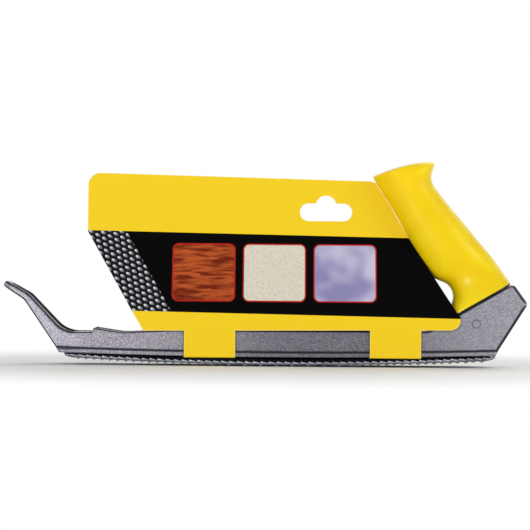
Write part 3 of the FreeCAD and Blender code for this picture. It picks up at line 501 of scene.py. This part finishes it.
@dataclass(frozen=True)
class VarnishedPrint(Finish):
    """Solid bleached board, offset printed and varnished.

    The ground is warm yellow with a black band, a patch of slanting punch marks and three framed
    swatches: timber, plaster and soft plastic. The varnish gives an even satin gloss over faint fibres.
    The board's edges take a pale rim: ink worn thin there, with a painted highlight as well.
    """

    name: str = "bleached_board_printed"
    ground: str = "#F3CE1B"
    band: str = "#030304"
    rim: str = "#F8E9A6"
    # The pale rim at the board's edges stands for ink worn thin and for a painted highlight.
    fleck: str = "#FFF3C0"
    rim_mm: float = 0.75
    frame_ink: str = "#B3221C"
    band_low: float = 31.1 * MM
    band_high: float = 78.3 * MM
    band_tilt: float = -0.0164
    patch_end: float = -36.0 * MM
    patch_slant: float = 0.585
    mark_pitch: float = 4.6 * MM
    mark_row_share: float = 0.62
    mark_turn: float = -28.0
    mark_ground: str = "#17171B"
    mark_oval: str = "#5E6068"
    mark_glint: str = "#D9DBE0"
    grain_mm: float = 2.2
    timber_inks: tuple[str, str] = ("#6E2413", "#B9562B")
    speck_mm: float = 0.9
    plaster_inks: tuple[str, str] = ("#DCD5C4", "#6D6A66")
    haze_mm: float = 18.0
    plastic_inks: tuple[str, str] = ("#8A86B4", "#C9C4DC")
    swatch_middles: tuple[float, float, float] = (-0.036, 0.006, 0.048)
    swatch_level: float = 0.0555
    swatch_half: tuple[float, float] = (0.018, 0.0165)
    swatch_corner: float = 0.003
    frame_width: float = 0.8 * MM
    # Wood fibres are some 0.03 mm wide, which is too fine to show, so clumps of them are drawn.
    fibre_mm: float = 0.6
    roughness: float = 0.34
    gloss: float = 0.03

    def between(self, tree: Tree, value: Socket, low: float, high: float) -> Socket:
        """Mark where a length lies between two others, with a clean printed edge."""
        rise = graded(tree, value, low - INK_EDGE, low + INK_EDGE)
        fall = graded(tree, value, high + INK_EDGE, high - INK_EDGE)
        return reckon(tree, "MULTIPLY", rise, fall)

    def punch_marks(self, tree: Tree, place: Socket) -> Socket:
        """Draw slanting rows of light ovals on dark, as a perforated strip looks from close by.

        Args:
            tree: The node tree.
            place: A point on the board.

        Returns:
            The patch's colour.
        """
        turned = add_node(tree, "Mapping", {"Rotation": (0.0, math.radians(self.mark_turn), 0.0)},
                          {"Vector": place})
        step = (self.mark_pitch, self.mark_pitch, self.mark_pitch * self.mark_row_share)
        row = add_node(tree, "VectorMath", {"operation": "DIVIDE", 1: step}, {0: turned.outputs[0]})
        axes = add_node(tree, "SeparateXYZ", {}, {0: row.outputs[0]})
        line = reckon(tree, "FLOOR", axes.outputs[2])
        shifted = reckon(tree, "MULTIPLY_ADD", line, 0.5, axes.outputs[0])
        across = reckon(tree, "SUBTRACT", reckon(tree, "FRACT", shifted), 0.5)
        up = reckon(tree, "SUBTRACT", reckon(tree, "FRACT", axes.outputs[2]), 0.5)
        spread = reckon(tree, "ADD", reckon(tree, "MULTIPLY", across, across),
                        reckon(tree, "MULTIPLY", reckon(tree, "MULTIPLY", up, up), 1.7))
        oval = graded(tree, spread, 0.16, 0.10)
        glint = reckon(tree, "MULTIPLY", oval, graded(tree, across, 0.25, -0.3))
        marks = blend_colours(tree, oval, self.mark_ground, self.mark_oval)
        return blend_colours(tree, glint, marks, self.mark_glint)

    def timber(self, tree: Tree, place: Socket) -> Socket:
        """Draw the timber swatch: rust brown with long, waving growth lines."""
        long_way = add_node(tree, "Mapping", {"Scale": (0.16, 1.0, 1.0), "Rotation": (0.0, 0.12, 0.0)},
                            {"Vector": place})
        grain = add_node(tree, "TexNoise", {"Scale": cells_per_metre(self.grain_mm), "Detail": 4.0,
                                            "Distortion": 0.4}, {"Vector": long_way.outputs[0]})
        return blend_colours(tree, graded(tree, grain.outputs["Fac"], 0.35, 0.65), *self.timber_inks)

    def plaster(self, tree: Tree, place: Socket) -> Socket:
        """Draw the plaster swatch: pale, with dark and light specks."""
        specks = add_node(tree, "TexVoronoi", {"Scale": cells_per_metre(self.speck_mm)}, {"Vector": place})
        dark = graded(tree, specks.outputs["Distance"], 0.3, 0.16)
        return blend_colours(tree, reckon(tree, "MULTIPLY", dark, 0.8), *self.plaster_inks)

    def plastic(self, tree: Tree, place: Socket) -> Socket:
        """Draw the plastic swatch: lilac with broad soft bands."""
        haze = add_node(tree, "TexNoise", {"Scale": cells_per_metre(self.haze_mm), "Detail": 1.0},
                        {"Vector": place})
        return blend_colours(tree, graded(tree, haze.outputs["Fac"], 0.3, 0.7), *self.plastic_inks)

    def paint(self, tree: Tree, shader: bpy.types.Node, place: Socket) -> None:
        """Lay the inks over the ground in order, then pale the edges with worn ink and a painted highlight,
        and varnish the sheet.
        """
        axes = add_node(tree, "SeparateXYZ", {}, {0: place})
        level = reckon(tree, "MULTIPLY_ADD", axes.outputs[0], -self.band_tilt, axes.outputs[2])
        in_band = self.between(tree, level, self.band_low, self.band_high)
        ink = blend_colours(tree, in_band, self.ground, self.band)
        slant = reckon(tree, "MULTIPLY_ADD", axes.outputs[2], self.patch_slant, axes.outputs[0])
        left_of_end = graded(tree, slant, self.patch_end + 2 * INK_EDGE, self.patch_end)
        in_patch = reckon(tree, "MULTIPLY", in_band, left_of_end)
        ink = blend_colours(tree, in_patch, ink, self.punch_marks(tree, place))
        for middle, fill in zip(self.swatch_middles, (self.timber, self.plaster, self.plastic)):
            panel = Panel((middle, self.swatch_level), self.swatch_half, self.swatch_corner)
            ink = blend_colours(tree, panel.inside(tree, place, self.frame_width), ink, self.frame_ink)
            ink = blend_colours(tree, panel.inside(tree, place), ink, fill(tree, place))
        fibre = add_node(tree, "TexNoise", {"Scale": cells_per_metre(self.fibre_mm), "Detail": 3.0},
                         {"Vector": place})
        bare = reckon(tree, "SUBTRACT", 1.0, in_band)
        mottle = reckon(tree, "MULTIPLY", graded(tree, fibre.outputs["Fac"], 0.3, 0.8, 0.0, 0.05), bare)
        ink = blend_colours(tree, mottle, ink, self.fleck)
        worn = graded(tree, fibre.outputs["Fac"], 0.3, 0.6, 0.45, 0.9)
        # Pale rim at the edges outside the black band: worn ink, and a painted highlight where the edge
        # catches light.
        rubbed_and_highlit = reckon(tree, "MULTIPLY", reckon(tree, "MULTIPLY", edge_mask(tree, self.rim_mm), worn), bare)
        tree.links.new(blend_colours(tree, rubbed_and_highlit, ink, self.rim), shader.inputs["Base Color"])
        rough = graded(tree, fibre.outputs["Fac"], 0.3, 0.7, self.roughness - 0.04, self.roughness + 0.06)
        tree.links.new(rough, shader.inputs["Roughness"])
        shader.inputs["Specular IOR Level"].default_value = self.gloss
        bump = add_node(tree, "Bump", {"Strength": 0.12, "Distance": 0.03 * MM},
                        {"Height": fibre.outputs["Fac"]})
        tree.links.new(bump.outputs[0], shader.inputs["Normal"])


@dataclass(frozen=True)
class BareBoard(Finish):
    """Bleached board without print, as it shows on the sheet's back and its cut edges.

    It is matt and off-white, with short fibres lying every way.
    """

    name: str = "bleached_board_plain"
    light: str = "#F3F0E6"
    dark: str = "#D9D3C3"
    # Single fibres are too fine to show here too, so clumps of them are drawn.
    fibre_mm: float = 0.5
    roughness: float = 0.85

    def paint(self, tree: Tree, shader: bpy.types.Node, place: Socket) -> None:
        """Short fibres in the colour and the bump."""
        fibre = add_node(tree, "TexNoise", {"Scale": cells_per_metre(self.fibre_mm), "Detail": 4.0,
                                            "Distortion": 1.2}, {"Vector": place})
        tone = graded(tree, fibre.outputs["Fac"], 0.35, 0.7)
        tree.links.new(blend_colours(tree, tone, self.light, self.dark), shader.inputs["Base Color"])
        shader.inputs["Roughness"].default_value = self.roughness
        bump = add_node(tree, "Bump", {"Strength": 0.4, "Distance": 0.04 * MM},
                        {"Height": fibre.outputs["Fac"]})
        tree.links.new(bump.outputs[0], shader.inputs["Normal"])


def dress(node: str, finish: Finish) -> None:
    """Give a frame node its finish.

    Args:
        node: The node's name.
        finish: The finish that takes the place of its plain one.
    """
    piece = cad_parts[node]
    for slot in piece.material_slots:
        slot.material = finish.material()
    LOG.info("%s: %s", node, finish.name)


@dataclass
class CastBody:
    """The die-cast body and the pin through its heel, which was painted over with it."""

    enamel: HammertoneEnamel = field(default_factory=HammertoneEnamel)

    def build(self) -> None:
        """Dress the casting and its pin."""
        dress("body_casting", self.enamel)
        dress("grip_pin", self.enamel)


@dataclass
class PistolGrip:
    """The moulded grip on the heel's sloping seat."""

    acetate: MouldedAcetate = field(default_factory=MouldedAcetate)

    def build(self) -> None:
        """Dress the grip."""
        dress("grip", self.acetate)


@dataclass
class BladeClamp:
    """The blade with the screw, washer, clip, nut and hook that draw it tight.

    The blade's flanges are pressed into slanting side teeth, which stand out like the strands of a rope
    along its lower half, while the strip above them is painted near black as shade.
    """

    strip: RolledSteel = field(default_factory=RolledSteel)
    # Painted shade: near-black steel for the flange's upper strip, which lies in shadow under the casting.
    dark: RolledSteel = field(default_factory=lambda: RolledSteel(
        name="spring_steel_painted_shade", bright="#16171B", dull="#08080A", roughness=0.45))
    zinc: RolledSteel = field(default_factory=lambda: RolledSteel(
        name="steel_zinc_plated", bright="#D3D4CF", dull="#9E9F9B", line_mm=0.4, patch_mm=5.0, roughness=0.3,
        along=(1.0, 1.0, 1.0)))
    centre_x: float = 9.5 * MM
    bow: float = 2200.0 * MM
    underside: float = 1.0 * MM
    half_length: float = 123.5 * MM
    run_on: float = 4.3 * MM
    outer: float = 20.68 * MM
    inner: float = 19.92 * MM
    bend: float = 1.8 * MM
    inner_bend: float = 1.1 * MM
    bend_turns: tuple[float, ...] = (60.0, 40.0, 20.0, 0.0)
    flange_top: float = 2.65 * MM
    crown: float = 0.8 * MM
    bright_end: float = 2.0 * MM
    bright_top: float = 1.65 * MM
    notch: float = 0.5 * MM
    pitch: float = 4.7 * MM
    first_row: float = 3.5 * MM
    strand_half: float = 1.5 * MM
    strand_rise: float = 0.5 * MM
    strand_slant: float = 1.29
    strand_lead: float = 3.92 * MM
    dark_rise: float = 0.35
    low_share: float = 0.45
    end_lift: float = 0.75
    rows: int = 9
    stations: int = 12

    def strand(self, along: float, height: float) -> float:
        """How far this place of a flange stands out on a side tooth, from 0 to 1.

        Args:
            along: The place along the blade's bow, from its middle.
            height: The place above the web's underside.

        Returns:
            0 between two side teeth, 1 on the crest of one.
        """
        first = -self.half_length + self.first_row + self.strand_lead - self.strand_slant * height
        off = (along - first + self.pitch / 2) % self.pitch - self.pitch / 2
        return math.sqrt(max(0.0, 1 - (off / self.strand_half) ** 2))

    def section(self, along: float) -> list[tuple[float, float, bool]]:
        """The flange's closed section at one place of the bow.

        Args:
            along: The place along the bow, from the blade's middle.

        Returns:
            Points (across, height, dark), up the inside, over the top and down the outside; the dark points
            lie in the strip of painted shade.
        """
        middle = max(0.0, 1 - (along / self.half_length) ** 2)
        top = self.flange_top + self.crown * middle
        bright = self.bright_end - (self.bright_end - self.bright_top) * middle
        points = []
        for degrees in self.bend_turns:
            turn = math.radians(degrees)
            across = self.inner - self.inner_bend * (1 - math.cos(turn))
            points.append((across, self.bend - self.inner_bend * math.sin(turn), True))
        points += [(self.inner, top, True), (self.outer, top, True)]
        for i in range(1, self.rows + 1):
            height = top + (self.bend * self.low_share - top) * i / self.rows
            turn = math.asin(min(1.0, max(0.0, 1 - height / self.bend)))
            across = self.outer - self.bend * (1 - math.cos(turn))
            bump = self.strand(along, height)
            # Points above the bright strands take the painted shade.
            dark = height > bright - self.notch * (1 - bump)
            rise = self.strand_rise * bump * (self.dark_rise if dark else 1.0)
            points.append((across + rise, height, dark))
        turn = math.radians(self.bend_turns[0])
        across = self.outer - self.bend * (1 - math.cos(turn))
        points.append((across, self.bend * (1 - math.sin(turn)), False))
        return points

    def side_teeth(self, name: str, side: int) -> bpy.types.Object:
        """Build the toothed face of one flange, with the short cheeks that run on past the web.

        Args:
            name: The piece's name.
            side: -1 for the flange on the -Y side, 1 for the other.

        Returns:
            The new piece.
        """
        mesh = bpy.data.meshes.new(name)
        form = bmesh.new()
        reach = self.half_length + self.run_on
        count = round(2 * reach / self.pitch * self.stations)
        rings = []
        for i in range(count + 1):
            along = -reach + 2 * reach * i / count
            angle = along / self.bow
            past = max(0.0, abs(along) - self.half_length) / self.run_on
            lift = self.end_lift * (1 - math.sqrt(max(0.0, 1 - past ** 2)))
            ring = []
            for across, height, dark in self.section(along):
                radius = self.bow - self.underside - height
                radius -= lift * (self.flange_top - height)
                x = self.centre_x + radius * math.sin(angle)
                z = self.bow - radius * math.cos(angle)
                ring.append((form.verts.new((x, side * across, z)), dark))
            rings.append(ring)
        for near, far in zip(rings, rings[1:]):
            for j in range(len(near)):
                corners = [near[j], near[j - 1], far[j - 1], far[j]]
                face = form.faces.new([corner[0] for corner in corners[::side]])
                # Faces mostly above the strands take the second material, the painted shade.
                mostly_shaded = sum(corner[1] for corner in corners) > len(corners) / 2
                face.material_index = int(mostly_shaded)
                face.smooth = True
        for ring, turn in ((rings[0], -side), (rings[-1], side)):
            form.faces.new([vertex for vertex, _ in ring[::turn]])
        bmesh.ops.recalc_face_normals(form, faces=form.faces)
        form.to_mesh(mesh)
        form.free()
        mesh.materials.append(self.strip.material())
        mesh.materials.append(self.dark.material())
        piece = bpy.data.objects.new(name, mesh)
        bpy.context.scene.collection.objects.link(piece)
        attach(piece, "cutter")
        LOG.info("%s: %d faces", name, len(mesh.polygons))
        return piece

    def build(self) -> None:
        """Dress the blade and the small clamp parts."""
        dress("blade", self.strip)
        self.side_teeth("blade_side_teeth_near", -1)
        self.side_teeth("blade_side_teeth_far", 1)
        for node in ("draw_screw", "screw_washer", "screw_clip", "draw_hook", "hook_nut"):
            dress(node, self.zinc)


class BoardFace(Enum):
    """The two looks of a board's faces, in the order of the piece's material slots."""

    PRINTED = 0
    BACK = 1


@dataclass
class CardSleeve:
    """The printed sleeve: a front and a back board, each with two tabs round the body."""

    printed: VarnishedPrint = field(default_factory=VarnishedPrint)
    plain: BareBoard = field(default_factory=BareBoard)
    facing: float = 0.3
    flap_facing: float = 0.7
    flap_zone: float = 4.0 * MM
    cut_gap: float = 0.9 * MM
    seam: float = 0.12 * MM

    def close_up(self, mesh: bpy.types.Mesh) -> None:
        """Press a board's cut edge up to the grip that it was cut round.

        Args:
            mesh: The board's mesh.
        """
        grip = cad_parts["grip"].data
        skin = BVHTree.FromPolygons([v.co for v in grip.vertices], [p.vertices for p in grip.polygons])
        for vertex in mesh.vertices:
            nearest, _, _, distance = skin.find_nearest(vertex.co)
            if self.seam < distance < self.cut_gap:
                vertex.co = nearest + (vertex.co - nearest) * (self.seam / distance)

    def board(self, node: str, side: int) -> bpy.types.Object:
        """Copy a board's mesh and give its print, its back and its cut edges their own finish.

        Args:
            node: The frame's node of this board.
            side: -1 for the board on the -Y side, 1 for the other.

        Returns:
            The new piece.
        """
        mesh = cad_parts[node].data.copy()
        self.close_up(mesh)
        mesh.materials.clear()
        mesh.materials.append(self.printed.material())
        mesh.materials.append(self.plain.material())
        flaps_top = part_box(node)[0].z + self.flap_zone
        for face in mesh.polygons:
            under = face.normal.z < -self.flap_facing and face.center.z < flaps_top
            shows = face.normal.y * side > self.facing or under
            face.material_index = (BoardFace.PRINTED if shows else BoardFace.BACK).value
        piece = bpy.data.objects.new(node.replace("card", "printed_card"), mesh)
        bpy.context.scene.collection.objects.link(piece)
        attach(piece, "tool")
        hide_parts(node)
        LOG.info("%s: printed board on side %+d", piece.name, side)
        return piece

    def build(self) -> None:
        """Make both boards."""
        self.board("card_front", -1)
        self.board("card_back", 1)


@dataclass(frozen=True)
class Softbox:
    """A soft rectangular lamp: its name, place, width and height, and output in watts."""

    name: str
    place: tuple[float, float, float]
    size: tuple[float, float]
    watts: float


@dataclass
class Studio:
    """The pale floor, the soft lights and the camera."""

    camera_place: Vector = field(default_factory=lambda: Vector((0.00035, -1.8, 0.0601)))
    roll: float = 0.5
    lens: float = 204.4
    sensor: float = 36.0
    floor_half: float = 6.0
    shadow_reach: float = 0.36
    shadow_share: float = 0.45
    floor_colour: str = "#FDFDFD"
    floor_roughness: float = 0.9
    floor_gloss: float = 0.2
    room_light: float = 0.45
    aim: tuple[float, float, float] = (0.0, 0.0, 0.05)
    softboxes: tuple[Softbox, ...] = (
        Softbox("key_softbox", (-0.62, -1.55, 0.35), (0.4, 0.4), 10.0),
        Softbox("fill_softbox", (1.25, -0.8, 0.55), (0.7, 0.7), 5.5),
        Softbox("back_softbox", (0.5, 1.0, 1.0), (1.0, 0.6), 6.5),
    )

    def camera(self) -> None:
        """Set the camera level in front of the tool, at the photograph's angle."""
        data = bpy.data.cameras.new("camera")
        data.lens = self.lens
        data.sensor_width = self.sensor
        data.clip_start = 0.01
        data.clip_end = 50.0
        view = bpy.data.objects.new("camera", data)
        turn = Matrix.Rotation(math.radians(90), 4, "X") @ Matrix.Rotation(math.radians(self.roll), 4, "Z")
        view.matrix_world = Matrix.Translation(self.camera_place) @ turn
        bpy.context.scene.collection.objects.link(view)
        bpy.context.scene.camera = view

    def floor(self) -> None:
        """Lay the pale floor: it takes the tool's shadow near it and fades to white further off."""
        mesh = bpy.data.meshes.new("floor")
        half = self.floor_half
        corners = [(-half, -half, 0), (half, -half, 0), (half, half, 0), (-half, half, 0)]
        mesh.from_pydata(corners, [], [(0, 1, 2, 3)])
        floor = bpy.data.objects.new("floor", mesh)
        bpy.context.scene.collection.objects.link(floor)
        made = bpy.data.materials.new("studio_floor")
        made.use_nodes = True
        tree = made.node_tree
        shader = tree.nodes["Principled BSDF"]
        shader.inputs["Base Color"].default_value = linear(self.floor_colour)
        shader.inputs["Roughness"].default_value = self.floor_roughness
        shader.inputs["Specular IOR Level"].default_value = self.floor_gloss
        place = add_node(tree, "TexCoord").outputs["Object"]
        far = add_node(tree, "VectorMath", {"operation": "LENGTH"}, {0: place}).outputs["Value"]
        fade = graded(tree, far, self.shadow_reach * self.shadow_share, self.shadow_reach)
        path = add_node(tree, "LightPath")
        seen = reckon(tree, "MAXIMUM", path.outputs["Is Camera Ray"], path.outputs["Is Glossy Ray"])
        white = add_node(tree, "Emission", {"Color": linear("#FFFFFF"), "Strength": 1.0})
        mixed = add_node(tree, "MixShader", {}, {0: reckon(tree, "MULTIPLY", fade, seen),
                                                 1: shader.outputs[0], 2: white.outputs[0]})
        tree.links.new(mixed.outputs[0], tree.nodes["Material Output"].inputs["Surface"])
        mesh.materials.append(made)

    def world(self) -> None:
        """Fill the room with even light that reads as white behind the tool and in its gloss."""
        world = bpy.data.worlds.new("studio")
        world.use_nodes = True
        tree = world.node_tree
        path = add_node(tree, "LightPath")
        seen = path.outputs["Is Camera Ray"]
        for ray in ("Is Glossy Ray", "Is Transmission Ray"):
            seen = reckon(tree, "MAXIMUM", seen, path.outputs[ray])
        room = tree.nodes["Background"]
        room.inputs["Color"].default_value = linear("#FFFFFF")
        tree.links.new(graded(tree, seen, 0.0, 1.0, self.room_light, 1.0), room.inputs["Strength"])
        bpy.context.scene.world = world

    def lamp(self, softbox: Softbox) -> None:
        """Hang one soft rectangular lamp that points at the tool's middle.

        Args:
            softbox: The lamp's name, place, size and output.
        """
        data = bpy.data.lights.new(softbox.name, "AREA")
        data.shape = "RECTANGLE"
        data.size, data.size_y = softbox.size
        data.energy = softbox.watts
        lamp = bpy.data.objects.new(softbox.name, data)
        lamp.location = softbox.place
        aim = Vector(self.aim) - Vector(softbox.place)
        lamp.rotation_euler = aim.to_track_quat("-Z", "Y").to_euler()
        bpy.context.scene.collection.objects.link(lamp)

    def build(self) -> None:
        """Set up the whole studio."""
        self.camera()
        self.floor()
        self.world()
        for softbox in self.softboxes:
            self.lamp(softbox)
        bpy.context.scene.view_settings.view_transform = "Standard"


def main() -> None:
    """Build the sub-assemblies in order, then the studio."""
    logging.basicConfig(level=logging.INFO, format="%(name)s: %(message)s")
    for part in (CastBody(), PistolGrip(), BladeClamp(), CardSleeve(), Studio()):
        part.build()


if __name__ == "__main__":
    main()
